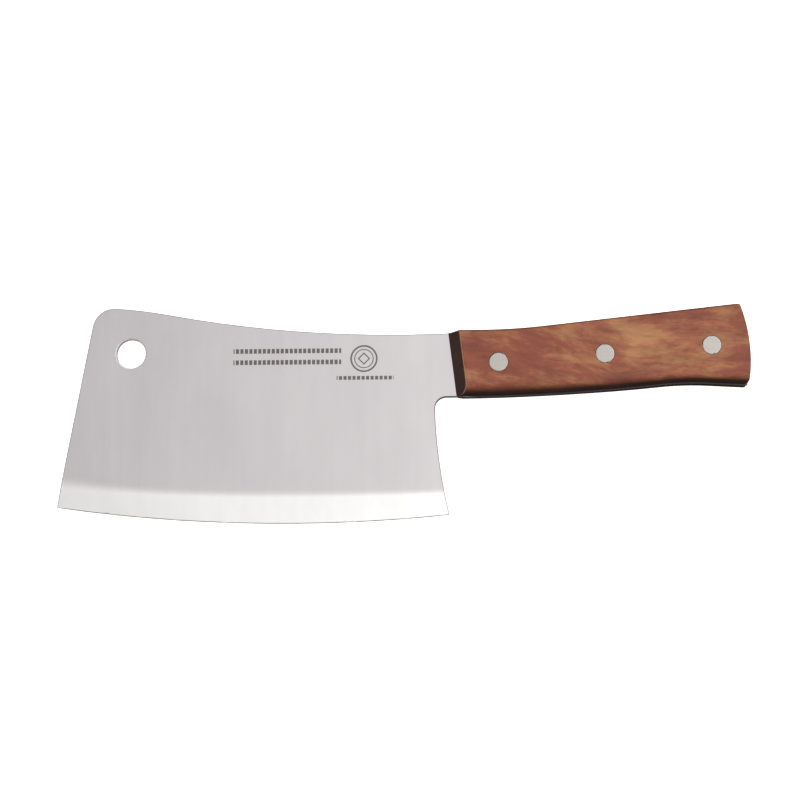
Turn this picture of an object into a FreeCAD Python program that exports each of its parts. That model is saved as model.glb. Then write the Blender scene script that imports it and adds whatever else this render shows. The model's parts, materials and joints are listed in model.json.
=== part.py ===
import FreeCAD, Part
import math
import os
import Sketcher

# Meat cleaver. One flat steel blade with a full tang, two wooden handle scales and three
# two-piece rivets. It lies flat: X runs along its length from the front of the blade to the
# butt of the handle, Y from the cutting edge to the spine, Z through its thickness.
# The origin is the bottom centre of the whole cleaver's box. Millimetres and degrees.

DIMENSIONS = {
    # Whole cleaver, over its box
    "overall_length": 290.0,
    "overall_depth": 92.0,
    # Blade blank
    "blade_thickness": 3.5,
    "edge_radius": 676.7,
    "edge_low_x": -46.8,
    "corner_x": -122.1,
    "corner_radius": 9.3,
    "crest_radius": 196.0,
    "spine_radius": 526.0,
    "spine_low_x": 0.4,
    "spine_low_y": 33.5,
    "heel_x": 20.0,
    "heel_radius": 221.0,
    "heel_hollow_y": 9.3,
    "choil_radius": 4.8,
    "hang_hole_x": -114.7,
    "hang_hole_y": 26.4,
    "hang_hole_diameter": 12.5,
    "hang_hole_chamfer": 0.5,
    # Ground bevel of the blade, on each side
    "edge_thickness": 0.7,
    "grind_blend": 5.0,
    "grind_lead": 1.0,
    "grind_rise": 0.012,
    "grind_overrun": 5.0,
    "grind_belly_x": -105.0,
    "grind_middle_x": -60.0,
    "grind_top_front": -25.5,
    "grind_top_belly": -30.8,
    "grind_top_middle": -31.8,
    "grind_top_heel": -32.2,
    "cutter_clearance": 1.0,
    # Cutting edge honed on the ground bevel
    "hone_angle": 30.0,
    "hone_sweep": 20.0,
    "edge_land": 0.15,
    # Handle outline, shared by the tang and the scales
    "belly_x": 20.2,
    "belly_y": 6.9,
    "belly_radius": 865.0,
    "hook_x": 121.2,
    "hook_radius": 130.0,
    "butt_low_y": 10.95,
    "butt_middle_y": 20.9,
    "butt_radius": 67.3,
    "butt_top_y": 44.0,
    "rise_radius": 257.0,
    "rise_x": 33.0,
    "handle_top_y": 34.0,
    "butt_corner_radius": 1.2,
    # Wooden scales
    "scale_thickness": 8.0,
    "scale_front_top_x": 19.7,
    "scale_front_low_x": 23.1,
    "scale_front_slope": 30.0,
    "belly_rounding": 4.5,
    "top_rounding": 1.2,
    "ridge_rounding": 0.6,
    # Rivets
    "rivet_x": 40.8,
    "rivet_y": 20.1,
    "rivet_step_x": 44.15,
    "rivet_step_y": 3.15,
    "rivet_head_diameter": 8.0,
    "rivet_head_thickness": 2.0,
    "rivet_head_clearance": 0.1,
    "rivet_tube_diameter": 5.0,
    "rivet_tube_gap": 1.0,
    "rivet_pin_diameter": 3.2,
    "rivet_pin_end": 13.0,
    "rivet_bore_end": 15.0,
    "rivet_hole_clearance": 0.1,
    "tang_hole_diameter": 5.3,
}

UP = FreeCAD.Vector(0, 0, 1)
TOUCH = 1e-4
RIVETS = ["front", "middle", "rear"]

doc = FreeCAD.newDocument("meat_cleaver")


def make_sheet():
    """The driving dimensions, one number to a cell, each with its alias."""
    sheet = doc.addObject("Spreadsheet::Sheet", "Sizes")
    for row, (alias, number) in enumerate(DIMENSIONS.items(), start=1):
        sheet.set(f"A{row}", str(number))
        sheet.setAlias(f"A{row}", alias)
    doc.recompute()
    return sheet


sheet = make_sheet()


def value(expression):
    """What an expression over the sheet comes to now."""
    return float(sheet.evalExpression(expression))


# ---------------------------------------------------------------- sketches


def new_body(label, height):
    """A body whose origin plane XY lies at the given height."""
    body = doc.addObject("PartDesign::Body", label)
    body.Label = label
    body.setExpression("Placement.Base.z", height)
    return body


def origin_plane(body, role):
    """One of the body's own origin planes, such as XY_Plane."""
    return next(item for item in body.Origin.OriginFeatures if item.Role == role)


def new_sketch(body, name, role):
    """A sketch flat on one of the body's own origin planes."""
    sketch = body.newObject("Sketcher::SketchObject", name)
    sketch.AttachmentSupport = [(origin_plane(body, role), "")]
    sketch.MapMode = "FlatFace"
    return sketch


def dimension(sketch, name, expression, kind, *where):
    """A named constraint that takes its size from the sheet."""
    index = sketch.addConstraint(Sketcher.Constraint(kind, *where, value(expression)))
    sketch.renameConstraint(index, name)
    sketch.setExpression("Constraints." + name, expression)


def place(sketch, name, geometry, vertex, x, y):
    """Hold a point at x, y from the sketch's origin; None leaves that way free."""
    for axis, kind, expression in ((-2, "DistanceX", x), (-1, "DistanceY", y)):
        if expression == "0":
            sketch.addConstraint(Sketcher.Constraint("PointOnObject", geometry, vertex, axis))
        elif expression is not None:
            dimension(sketch, name + kind[-1], expression, kind, -1, 1, geometry, vertex)


def line(sketch, start, end):
    """A straight element; returns its index, first vertex and last vertex."""
    index = sketch.addGeometry(Part.LineSegment(FreeCAD.Vector(*start), FreeCAD.Vector(*end)), False)
    return index, 1, 2


def arc(sketch, centre, start, end, clockwise=False):
    """An arc drawn from start to end; returns its index, first vertex and last vertex."""
    first, last = (end, start) if clockwise else (start, end)
    circle = Part.Circle(FreeCAD.Vector(*centre), UP, math.dist(centre, start))
    angles = [math.atan2(y - centre[1], x - centre[0]) for x, y in (first, last)]
    if angles[1] < angles[0]:
        angles[1] += 2 * math.pi
    index = sketch.addGeometry(Part.ArcOfCircle(circle, *angles), False)
    return (index, 2, 1) if clockwise else (index, 1, 2)


def chain(sketch, elements, corners):
    """Join elements end to end into a closed outline: smoothly, except at the named corners."""
    names = list(elements)
    for name, following in zip(names, names[1:] + names[:1]):
        index, _, last = elements[name]
        next_index, first, _ = elements[following]
        kind = "Coincident" if (name, following) in corners else "Tangent"
        sketch.addConstraint(Sketcher.Constraint(kind, index, last, next_index, first))


def polygon(sketch, points):
    """A closed outline of straight lines through points given as expressions."""
    places = [(value(x), value(y)) for x, y in points]
    indices = [line(sketch, a, b)[0] for a, b in zip(places, places[1:] + places[:1])]
    for index, following in zip(indices, indices[1:] + indices[:1]):
        sketch.addConstraint(Sketcher.Constraint("Coincident", index, 2, following, 1))
    for index, (x, y) in zip(indices, points):
        place(sketch, f"point{index}", index, 1, x, y)


def toward(point, other, distance):
    """The point at a distance from one point on the way to another."""
    share = distance / math.dist(point, other)
    return tuple(a + (b - a) * share for a, b in zip(point, other))


def right_of(centre, radius, y):
    """The right-hand point of a circle at a given height."""
    return centre[0] + math.sqrt(radius ** 2 - (y - centre[1]) ** 2), y


def below(centre, radius, x):
    """The lower point of a circle at a given x."""
    return x, centre[1] - math.sqrt(radius ** 2 - (x - centre[0]) ** 2)


def meeting(centre_a, radius_a, centre_b, radius_b):
    """Where two circles cross, on the left of the way from the first centre to the second."""
    span = math.dist(centre_a, centre_b)
    along = (radius_a ** 2 - radius_b ** 2 + span ** 2) / (2 * span)
    across = math.sqrt(radius_a ** 2 - along ** 2)
    way = [(b - a) / span for a, b in zip(centre_a, centre_b)]
    return centre_a[0] + along * way[0] - across * way[1], centre_a[1] + along * way[1] + across * way[0]


def touching(centre, radius, point, turn):
    """Where a straight line from a point touches a circle; turn is 1 or -1, to the left or right."""
    facing = math.atan2(point[1] - centre[1], point[0] - centre[0])
    angle = facing + turn * math.acos(radius / math.dist(centre, point))
    return centre[0] + radius * math.cos(angle), centre[1] + radius * math.sin(angle)


# ---------------------------------------------------------------- features


def pad(body, sketch, length, midplane=False, reversed_way=False):
    """A plate of the sketch's outline."""
    feature = body.newObject("PartDesign::Pad", body.Label + "_plate")
    feature.Profile = sketch
    feature.setExpression("Length", length)
    feature.Midplane = midplane
    feature.Reversed = reversed_way
    sketch.Visibility = False
    doc.recompute()
    return feature


def pocket(body, sketch, name, length=None, midplane=False, reversed_way=False):
    """Cut a sketch through all, or to a length, and make sure that it took metal or wood away."""
    before = body.Shape.Volume
    feature = body.newObject("PartDesign::Pocket", name)
    feature.Profile = sketch
    if length is None:
        feature.Type = "ThroughAll"
    else:
        feature.setExpression("Length", length)
    feature.Midplane = midplane
    feature.Reversed = reversed_way
    sketch.Visibility = False
    doc.recompute()
    if body.Shape.Volume >= before:
        raise RuntimeError(name + " cuts nothing")
    return feature


def soften(body, kind, name, edges, size):
    """A Fillet or Chamfer on chosen edges of the body's last feature."""
    base = body.Tip
    feature = body.newObject("PartDesign::" + kind, name)
    feature.Base = (base, edges)
    feature.setExpression("Radius" if kind == "Fillet" else "Size", size)
    doc.recompute()
    return feature


def faces_where(shape, test):
    """Names of the faces that pass a test."""
    return [f"Face{number}" for number, face in enumerate(shape.Faces, start=1) if test(face)]


def edges_where(shape, test):
    """Names of the edges that pass a test."""
    return [f"Edge{number}" for number, edge in enumerate(shape.Edges, start=1) if test(edge)]


def faces_way(face, way, least):
    """Whether a flat face looks nearly along a direction."""
    return face.Surface.TypeId == "Part::GeomPlane" and face.normalAt(0, 0).dot(FreeCAD.Vector(way)) > least


def is_round(edge, radius):
    """Whether an edge is a circle of a given radius."""
    return edge.Curve.TypeId == "Part::GeomCircle" and abs(edge.Curve.Radius - radius) < TOUCH


def at_height(edge, height):
    """Whether an edge lies flat at a given height."""
    return abs(edge.BoundBox.ZMin - height) < TOUCH and abs(edge.BoundBox.ZMax - height) < TOUCH


# ---------------------------------------------------------------- handle outline

HANDLE_CORNERS = {("flare", "butt")}


def belly_middle():
    """The centre of the arc of the handle's belly."""
    return value("Sizes.belly_x"), value("Sizes.belly_y + Sizes.belly_radius")


def handle_outline(sketch, start, end):
    """The handle's outline from its lower front round the butt to its upper front."""
    belly_radius = value("Sizes.belly_radius")
    hook_radius = value("Sizes.hook_radius")
    butt_radius = value("Sizes.butt_radius")
    corner_radius = value("Sizes.butt_corner_radius")
    rise_radius = value("Sizes.rise_radius")
    top_y = value("Sizes.handle_top_y")
    belly_centre = belly_middle()
    hook_centre = below(belly_centre, belly_radius + hook_radius, value("Sizes.hook_x"))
    hook_start = toward(belly_centre, hook_centre, belly_radius)
    butt_centre = value("Sizes.overall_length") / 2 - butt_radius, value("Sizes.butt_middle_y")
    butt_low = right_of(butt_centre, butt_radius, value("Sizes.butt_low_y"))
    flare_start = touching(hook_centre, hook_radius, butt_low, 1)
    corner_centre = right_of(butt_centre, butt_radius - corner_radius,
                             value("Sizes.butt_top_y") - corner_radius)
    corner_start = toward(butt_centre, corner_centre, butt_radius)
    top_start = value("Sizes.rise_x"), top_y
    bend_centre = top_start[0], top_y + rise_radius
    crossing = touching(bend_centre, rise_radius + corner_radius, corner_centre, -1)
    bend_start = toward(bend_centre, crossing, rise_radius)
    above_corner = [a + b - c for a, b, c in zip(corner_centre, bend_centre, crossing)]
    rise_start = toward(corner_centre, above_corner, corner_radius)
    return {
        "belly": arc(sketch, belly_centre, start, hook_start),
        "hook": arc(sketch, hook_centre, hook_start, flare_start, clockwise=True),
        "flare": line(sketch, flare_start, butt_low),
        "butt": arc(sketch, butt_centre, butt_low, corner_start),
        "butt_corner": arc(sketch, corner_centre, corner_start, rise_start),
        "rise_line": line(sketch, rise_start, bend_start),
        "rise": arc(sketch, bend_centre, bend_start, top_start, clockwise=True),
        "top": line(sketch, top_start, end),
    }


def handle_sizes(sketch, parts):
    """The handle outline's dimensions, added once the whole outline is joined."""
    for name in ("belly", "hook", "butt", "butt_corner", "rise"):
        dimension(sketch, name + "_radius", "Sizes." + name + "_radius", "Radius", parts[name][0])
    place(sketch, "belly_centre_", parts["belly"][0], 3, "Sizes.belly_x",
          "Sizes.belly_y + Sizes.belly_radius")
    place(sketch, "hook_centre_", parts["hook"][0], 3, "Sizes.hook_x", None)
    place(sketch, "butt_centre_", parts["butt"][0], 3, "Sizes.overall_length / 2 - Sizes.butt_radius",
          "Sizes.butt_middle_y")
    place(sketch, "butt_low_", parts["butt"][0], 1, None, "Sizes.butt_low_y")
    place(sketch, "butt_corner_centre_", parts["butt_corner"][0], 3, None,
          "Sizes.butt_top_y - Sizes.butt_corner_radius")
    place(sketch, "rise_centre_", parts["rise"][0], 3, "Sizes.rise_x", None)
    place(sketch, "top_end_", parts["top"][0], 2, None, "Sizes.handle_top_y")
    sketch.addConstraint(Sketcher.Constraint("Horizontal", parts["top"][0]))


# ---------------------------------------------------------------- blade


def blade_outline(body):
    """The outline of the stamped blank: edge, heel, choil, handle, spine, corner and front."""
    sketch = new_sketch(body, "blade_outline", "XY_Plane")
    edge_centre = value("Sizes.edge_low_x"), value("Sizes.edge_radius - Sizes.overall_depth / 2")
    tip = below(edge_centre, value("Sizes.edge_radius"), value("-Sizes.overall_length / 2"))
    heel = below(edge_centre, value("Sizes.edge_radius"), value("Sizes.heel_x"))
    hollow_y = value("Sizes.heel_hollow_y")
    heel_radius = value("Sizes.heel_radius")
    heel_centre = heel[0] + math.sqrt(heel_radius ** 2 - (hollow_y - heel[1]) ** 2), hollow_y
    belly_centre = belly_middle()
    choil_centre = meeting(heel_centre, value("Sizes.heel_radius - Sizes.choil_radius"),
                           belly_centre, value("Sizes.belly_radius + Sizes.choil_radius"))
    choil_start = toward(heel_centre, choil_centre, heel_radius)
    belly_start = toward(belly_centre, choil_centre, value("Sizes.belly_radius"))
    spine_centre = value("Sizes.spine_low_x"), value("Sizes.spine_low_y + Sizes.spine_radius")
    spine_start = right_of(spine_centre, value("Sizes.spine_radius"), value("Sizes.handle_top_y"))
    corner_centre = value("Sizes.corner_x"), value("Sizes.overall_depth / 2 - Sizes.corner_radius")
    crest_centre = meeting(spine_centre, value("Sizes.spine_radius + Sizes.crest_radius"),
                           corner_centre, value("Sizes.crest_radius - Sizes.corner_radius"))
    crest_start = toward(spine_centre, crest_centre, value("Sizes.spine_radius"))
    corner_start = toward(crest_centre, corner_centre, value("Sizes.crest_radius"))
    front_start = touching(corner_centre, value("Sizes.corner_radius"), tip, -1)

    parts = {
        "edge": arc(sketch, edge_centre, tip, heel),
        "heel": arc(sketch, heel_centre, heel, choil_start, clockwise=True),
        "choil": arc(sketch, choil_centre, choil_start, belly_start, clockwise=True),
    }
    parts.update(handle_outline(sketch, belly_start, spine_start))
    parts["spine"] = arc(sketch, spine_centre, spine_start, crest_start, clockwise=True)
    parts["crest"] = arc(sketch, crest_centre, crest_start, corner_start)
    parts["corner"] = arc(sketch, corner_centre, corner_start, front_start)
    parts["front"] = line(sketch, front_start, tip)
    chain(sketch, parts, HANDLE_CORNERS | {("edge", "heel"), ("top", "spine"), ("front", "edge")})

    handle_sizes(sketch, parts)
    for name in ("edge", "heel", "choil", "spine", "crest", "corner"):
        dimension(sketch, name + "_radius", "Sizes." + name + "_radius", "Radius", parts[name][0])
    place(sketch, "edge_centre_", parts["edge"][0], 3, "Sizes.edge_low_x",
          "Sizes.edge_radius - Sizes.overall_depth / 2")
    place(sketch, "tip_", parts["edge"][0], 1, "-Sizes.overall_length / 2", None)
    place(sketch, "heel_", parts["edge"][0], 2, "Sizes.heel_x", None)
    place(sketch, "heel_centre_", parts["heel"][0], 3, None, "Sizes.heel_hollow_y")
    place(sketch, "spine_centre_", parts["spine"][0], 3, "Sizes.spine_low_x",
          "Sizes.spine_low_y + Sizes.spine_radius")
    place(sketch, "corner_centre_", parts["corner"][0], 3, "Sizes.corner_x",
          "Sizes.overall_depth / 2 - Sizes.corner_radius")
    return sketch


def circle(sketch, name, x, y, diameter):
    """A circle held at its place and size."""
    shape = Part.Circle(FreeCAD.Vector(value(x), value(y)), UP, value(diameter) / 2)
    index = sketch.addGeometry(shape, False)
    place(sketch, name + "_", index, 3, x, y)
    dimension(sketch, name + "_diameter", diameter, "Diameter", index)


def rivet_circles(body, name, diameter, height="0"):
    """A sketch of three equal circles, one on each rivet's axis, at a height in the body."""
    sketch = new_sketch(body, name, "XY_Plane")
    if height != "0":
        sketch.setExpression("AttachmentOffset.Base.z", height)
    for step, rivet in enumerate(RIVETS):
        circle(sketch, rivet, f"Sizes.rivet_x + {step} * Sizes.rivet_step_x",
               f"Sizes.rivet_y + {step} * Sizes.rivet_step_y", diameter)
    return sketch


def grind_section(body, name, x, top):
    """What is ground off one face, cut across at a given x: a blend, then a straight bevel."""
    sketch = new_sketch(body, name, "YZ_Plane")
    sketch.setExpression("AttachmentOffset.Base.z", x)
    start_y, start_z = top + " + Sizes.grind_lead", "Sizes.blade_thickness / 2 + Sizes.grind_rise"
    edge_y = ("Sizes.edge_radius - Sizes.overall_depth / 2"
              f" - sqrt(Sizes.edge_radius ^ 2 - ({x} - Sizes.edge_low_x) ^ 2)")
    edge_z = "Sizes.edge_thickness / 2"
    end_y = top + " - Sizes.grind_blend"
    foot_y = edge_y + " - Sizes.cutter_clearance"
    over_z = "Sizes.blade_thickness / 2 + Sizes.cutter_clearance"

    start = value(start_y), value(start_z)
    blend = start[0] - value(end_y)
    slope = (start[1] - value(edge_z)) / (start[0] - value(edge_y) - blend / 2)
    blend_end = value(end_y), start[1] - slope * blend / 2
    foot = value(foot_y), value(edge_z) - slope * value("Sizes.cutter_clearance")
    centre = start[0], start[1] - blend / slope
    parts = {
        "blend": arc(sketch, centre, start, blend_end),
        "bevel": line(sketch, blend_end, foot),
        "end": line(sketch, foot, (foot[0], value(over_z))),
        "over": line(sketch, (foot[0], value(over_z)), (start[0], value(over_z))),
        "back": line(sketch, (start[0], value(over_z)), start),
    }
    corners = {("bevel", "end"), ("end", "over"), ("over", "back"), ("back", "blend")}
    chain(sketch, parts, corners)
    for name, kind in (("end", "Vertical"), ("over", "Horizontal"), ("back", "Vertical")):
        sketch.addConstraint(Sketcher.Constraint(kind, parts[name][0]))
    blend_index = parts["blend"][0]
    sketch.addConstraint(Sketcher.Constraint("Vertical", blend_index, 3, blend_index, 1))
    place(sketch, "start_", blend_index, 1, start_y, start_z)
    place(sketch, "blend_end_", blend_index, 2, end_y, None)
    place(sketch, "foot_", parts["bevel"][0], 2, foot_y, None)
    place(sketch, "over_", parts["over"][0], 1, None, over_z)
    edge = sketch.addGeometry(Part.Point(FreeCAD.Vector(value(edge_y), value(edge_z))), True)
    place(sketch, "edge_", edge, 1, edge_y, edge_z)
    sketch.addConstraint(Sketcher.Constraint("PointOnObject", edge, 1, parts["bevel"][0]))
    return sketch


def grind_bevel(body):
    """Grind one face from a nearly straight line down to the curved edge."""
    sections = [
        grind_section(body, "grind_front", "(-Sizes.overall_length / 2 - Sizes.grind_overrun)",
                      "Sizes.grind_top_front"),
        grind_section(body, "grind_belly", "Sizes.grind_belly_x", "Sizes.grind_top_belly"),
        grind_section(body, "grind_middle", "Sizes.grind_middle_x", "Sizes.grind_top_middle"),
        grind_section(body, "grind_heel", "(Sizes.heel_x + Sizes.grind_overrun)",
                      "Sizes.grind_top_heel"),
    ]
    doc.recompute()
    feature = body.newObject("PartDesign::SubtractiveLoft", "ground_bevel")
    feature.Profile = sections[0]
    feature.Sections = sections[1:]
    feature.Refine = False
    doc.recompute()
    return feature


def hone_edge(body):
    """Hone the edge: a cone about the middle of the edge's curve takes the corner off."""
    sketch = new_sketch(body, "hone_section", "YZ_Plane")
    sketch.setExpression("AttachmentOffset.Base.x", "Sizes.edge_radius - Sizes.overall_depth / 2")
    sketch.setExpression("AttachmentOffset.Base.z", "Sizes.edge_low_x")
    low = "Sizes.edge_land / 2"
    high = low + " + Sizes.cutter_clearance * tan(Sizes.hone_angle * 1 deg)"
    outside = "-Sizes.edge_radius - Sizes.cutter_clearance"
    polygon(sketch, [
        ("-Sizes.edge_radius", low),
        ("-Sizes.edge_radius + Sizes.cutter_clearance", high),
        (outside, high),
        (outside, low),
    ])
    feature = body.newObject("PartDesign::Groove", "honed_edge")
    feature.Profile = sketch
    feature.ReferenceAxis = (sketch, ["V_Axis"])
    feature.setExpression("Angle", "Sizes.hone_sweep")
    feature.Midplane = True
    doc.recompute()
    return feature


def make_blade():
    """The steel blade with its full tang: stamped, drilled, ground and honed on both faces."""
    body = new_body("blade", "Sizes.scale_thickness + Sizes.blade_thickness / 2")
    pad(body, blade_outline(body), "Sizes.blade_thickness", midplane=True)
    hole = new_sketch(body, "hang_hole", "XY_Plane")
    circle(hole, "hang_hole", "Sizes.hang_hole_x", "Sizes.hang_hole_y", "Sizes.hang_hole_diameter")
    pocket(body, hole, "hang_hole_cut", midplane=True)
    rim = value("Sizes.hang_hole_diameter") / 2
    rims = edges_where(body.Tip.Shape, lambda edge: is_round(edge, rim))
    soften(body, "Chamfer", "hang_hole_rims", rims, "Sizes.hang_hole_chamfer")
    holes = rivet_circles(body, "tang_holes", "Sizes.tang_hole_diameter")
    pocket(body, holes, "tang_holes_cut", midplane=True)
    cuts = [grind_bevel(body), hone_edge(body)]
    mirror = body.newObject("PartDesign::Mirrored", "other_face")
    mirror.Originals = cuts
    mirror.MirrorPlane = (origin_plane(body, "XY_Plane"), [""])
    body.Tip = mirror
    doc.recompute()
    return body


# ---------------------------------------------------------------- scales


def scale_outline(body):
    """The outline of a scale: the handle's, closed by a straight slanting front."""
    sketch = new_sketch(body, "scale_outline", "XY_Plane")
    low = below(belly_middle(), value("Sizes.belly_radius"), value("Sizes.scale_front_low_x"))
    top = value("Sizes.scale_front_top_x"), value("Sizes.handle_top_y")
    parts = handle_outline(sketch, low, top)
    parts["front"] = line(sketch, top, low)
    chain(sketch, parts, HANDLE_CORNERS | {("top", "front"), ("front", "belly")})
    handle_sizes(sketch, parts)
    place(sketch, "front_low_", parts["front"][0], 2, "Sizes.scale_front_low_x", None)
    place(sketch, "front_top_", parts["front"][0], 1, "Sizes.scale_front_top_x", None)
    return sketch


def slope_front(body, plate):
    """Lean the front of a scale back from the blade, like a sanded bevel."""
    before = body.Shape.Volume
    front = faces_where(plate.Shape, lambda face: faces_way(face, (-1, 0, 0), 0.9))
    mating = faces_where(plate.Shape, lambda face: abs(face.CenterOfMass.z) < TOUCH)
    feature = body.newObject("PartDesign::Draft", "front_slope")
    feature.Base = (plate, front)
    feature.NeutralPlane = (plate, mating)
    feature.setExpression("Angle", "Sizes.scale_front_slope")
    doc.recompute()
    if body.Shape.Volume > before:
        feature.Reversed = True
        doc.recompute()
    return feature


def make_scale(label, height, side):
    """A wooden scale. side is 1 for the scale above the tang and -1 for the one below it."""
    body = new_body(label, height)
    plate = pad(body, scale_outline(body), "Sizes.scale_thickness", reversed_way=side < 0)
    slope_front(body, plate)
    outer = side * value("Sizes.scale_thickness")
    belly_y = value("Sizes.butt_low_y") + value("Sizes.belly_rounding")
    front_x = value("Sizes.scale_front_low_x") + value("Sizes.scale_thickness") / 2
    belly = edges_where(body.Tip.Shape,
                        lambda edge: at_height(edge, outer) and edge.CenterOfMass.y < belly_y)
    soften(body, "Fillet", "belly_rounding", belly, "Sizes.belly_rounding")
    top = edges_where(body.Tip.Shape,
                      lambda edge: at_height(edge, outer) and edge.CenterOfMass.y > belly_y
                      and edge.CenterOfMass.x > front_x)
    soften(body, "Fillet", "top_rounding", top, "Sizes.top_rounding")
    ridge = edges_where(body.Tip.Shape,
                        lambda edge: at_height(edge, outer) and edge.Length > belly_y
                        and edge.CenterOfMass.x < front_x)
    soften(body, "Fillet", "ridge_rounding", ridge, "Sizes.ridge_rounding")
    outer_height = f"{side} * Sizes.scale_thickness"
    seats = rivet_circles(body, "rivet_seats", "Sizes.rivet_head_diameter + Sizes.rivet_head_clearance",
                          outer_height)
    pocket(body, seats, "rivet_seats_cut", "Sizes.rivet_head_thickness", reversed_way=side < 0)
    holes = rivet_circles(body, "rivet_holes", "Sizes.rivet_tube_diameter + Sizes.rivet_hole_clearance")
    pocket(body, holes, "rivet_holes_cut", reversed_way=side > 0)
    return body


# ---------------------------------------------------------------- rivets


def new_rivet_half(rivet, half, step):
    """A body on one rivet's axis, standing on the cleaver's lower face."""
    body = new_body(f"{rivet}_rivet_{half}", "0")
    body.setExpression("Placement.Base.x", f"Sizes.rivet_x + {step} * Sizes.rivet_step_x")
    body.setExpression("Placement.Base.y", f"Sizes.rivet_y + {step} * Sizes.rivet_step_y")
    return body


def turn(body, points):
    """A turned piece: half its section, revolved about the body's Z axis."""
    section = new_sketch(body, body.Label + "_section", "XZ_Plane")
    polygon(section, points)
    feature = body.newObject("PartDesign::Revolution", body.Label + "_turned")
    feature.Profile = section
    feature.ReferenceAxis = (section, ["V_Axis"])
    feature.Angle = 360
    section.Visibility = False
    doc.recompute()
    return body


def make_female(rivet, step):
    """The half with the head on the upper face and a bored tube through the tang."""
    thickness = "2 * Sizes.scale_thickness + Sizes.blade_thickness"
    under_head = thickness + " - Sizes.rivet_head_thickness"
    tube_end = "Sizes.rivet_head_thickness + Sizes.rivet_tube_gap"
    return turn(new_rivet_half(rivet, "female", step), [
        ("0", thickness),
        ("0", "Sizes.rivet_bore_end"),
        ("Sizes.rivet_pin_diameter / 2", "Sizes.rivet_bore_end"),
        ("Sizes.rivet_pin_diameter / 2", tube_end),
        ("Sizes.rivet_tube_diameter / 2", tube_end),
        ("Sizes.rivet_tube_diameter / 2", under_head),
        ("Sizes.rivet_head_diameter / 2", under_head),
        ("Sizes.rivet_head_diameter / 2", thickness),
    ])


def make_male(rivet, step):
    """The half with the head on the lower face and a pin pressed into the tube."""
    return turn(new_rivet_half(rivet, "male", step), [
        ("0", "0"),
        ("Sizes.rivet_head_diameter / 2", "0"),
        ("Sizes.rivet_head_diameter / 2", "Sizes.rivet_head_thickness"),
        ("Sizes.rivet_pin_diameter / 2", "Sizes.rivet_head_thickness"),
        ("Sizes.rivet_pin_diameter / 2", "Sizes.rivet_pin_end"),
        ("0", "Sizes.rivet_pin_end"),
    ])


# ---------------------------------------------------------------- assembly and export

pieces = [
    make_blade(),
    make_scale("right_scale", "Sizes.scale_thickness", -1),
    make_scale("left_scale", "Sizes.scale_thickness + Sizes.blade_thickness", 1),
]
for step, rivet in enumerate(RIVETS):
    pieces.append(make_female(rivet, step))
    pieces.append(make_male(rivet, step))
doc.recompute()

failed = [item.Label for item in doc.Objects if {"Invalid", "Error"} & set(item.State)]
failed += [piece.Label for piece in pieces if piece.Shape.isNull() or not piece.Shape.isValid()]
if failed:
    raise RuntimeError("failed: " + ", ".join(failed))

os.makedirs("parts", exist_ok=True)
for piece in pieces:
    piece.Shape.exportStep(f"parts/{piece.Label}.step")
    print(f"{piece.Label}: {len(piece.Shape.Solids)} solid, {piece.Shape.Volume:.1f} mm3")
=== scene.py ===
import json
import math

import bmesh
import bpy
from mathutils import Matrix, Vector


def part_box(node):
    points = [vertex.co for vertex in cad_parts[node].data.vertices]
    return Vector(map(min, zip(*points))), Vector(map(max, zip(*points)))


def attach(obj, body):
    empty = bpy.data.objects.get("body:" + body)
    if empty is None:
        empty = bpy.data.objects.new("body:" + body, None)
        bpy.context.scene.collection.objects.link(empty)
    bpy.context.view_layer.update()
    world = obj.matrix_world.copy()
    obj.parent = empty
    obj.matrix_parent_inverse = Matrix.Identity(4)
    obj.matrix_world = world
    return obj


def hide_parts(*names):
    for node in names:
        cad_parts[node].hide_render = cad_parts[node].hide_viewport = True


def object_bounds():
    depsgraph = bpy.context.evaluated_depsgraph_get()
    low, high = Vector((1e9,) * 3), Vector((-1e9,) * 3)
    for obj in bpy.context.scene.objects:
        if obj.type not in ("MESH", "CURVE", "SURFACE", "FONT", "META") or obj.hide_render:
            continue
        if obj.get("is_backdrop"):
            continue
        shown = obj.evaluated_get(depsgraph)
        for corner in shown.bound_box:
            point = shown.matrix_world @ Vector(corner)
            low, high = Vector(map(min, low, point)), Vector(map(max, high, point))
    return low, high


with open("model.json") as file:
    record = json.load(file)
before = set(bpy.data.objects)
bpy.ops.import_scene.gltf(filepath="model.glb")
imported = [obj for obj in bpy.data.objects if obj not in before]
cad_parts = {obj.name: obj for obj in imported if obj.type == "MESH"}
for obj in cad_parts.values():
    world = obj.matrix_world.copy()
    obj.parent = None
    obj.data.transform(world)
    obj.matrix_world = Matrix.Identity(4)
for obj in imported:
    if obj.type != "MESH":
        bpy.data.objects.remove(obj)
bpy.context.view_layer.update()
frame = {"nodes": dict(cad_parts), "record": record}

# ---------------------------------------------------------------- floor, light and camera
# The cleaver lies on a plain white floor inside a soft white light tent. The tent is bright
# overhead and dim low down, so the rounded edges and the sloping front of the handle turn dark.

MM = 0.001


def linear(hex_colour):
    """An sRGB hex value as the linear colour that a shader takes."""
    channels = [int(hex_colour[place:place + 2], 16) / 255 for place in (1, 3, 5)]
    return [c / 12.92 if c <= 0.04045 else ((c + 0.055) / 1.055) ** 2.4 for c in channels] + [1.0]


def add_node(tree, kind, settings=None, values=None, links=None):
    """A node with its settings, its sockets' values and what feeds them."""
    node = tree.nodes.new(kind)
    for name, setting in (settings or {}).items():
        setattr(node, name, setting)
    for name, number in (values or {}).items():
        node.inputs[name].default_value = number
    for name, source in (links or {}).items():
        tree.links.new(source, node.inputs[name])
    return node


def new_material(name):
    """An empty material with its output node."""
    material = bpy.data.materials.new(name)
    material.use_nodes = True
    tree = material.node_tree
    tree.nodes.clear()
    return material, tree, add_node(tree, "ShaderNodeOutputMaterial")


FLOOR_SIZE = 6.0
FLOOR_GAP = 0.2 * MM

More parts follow.
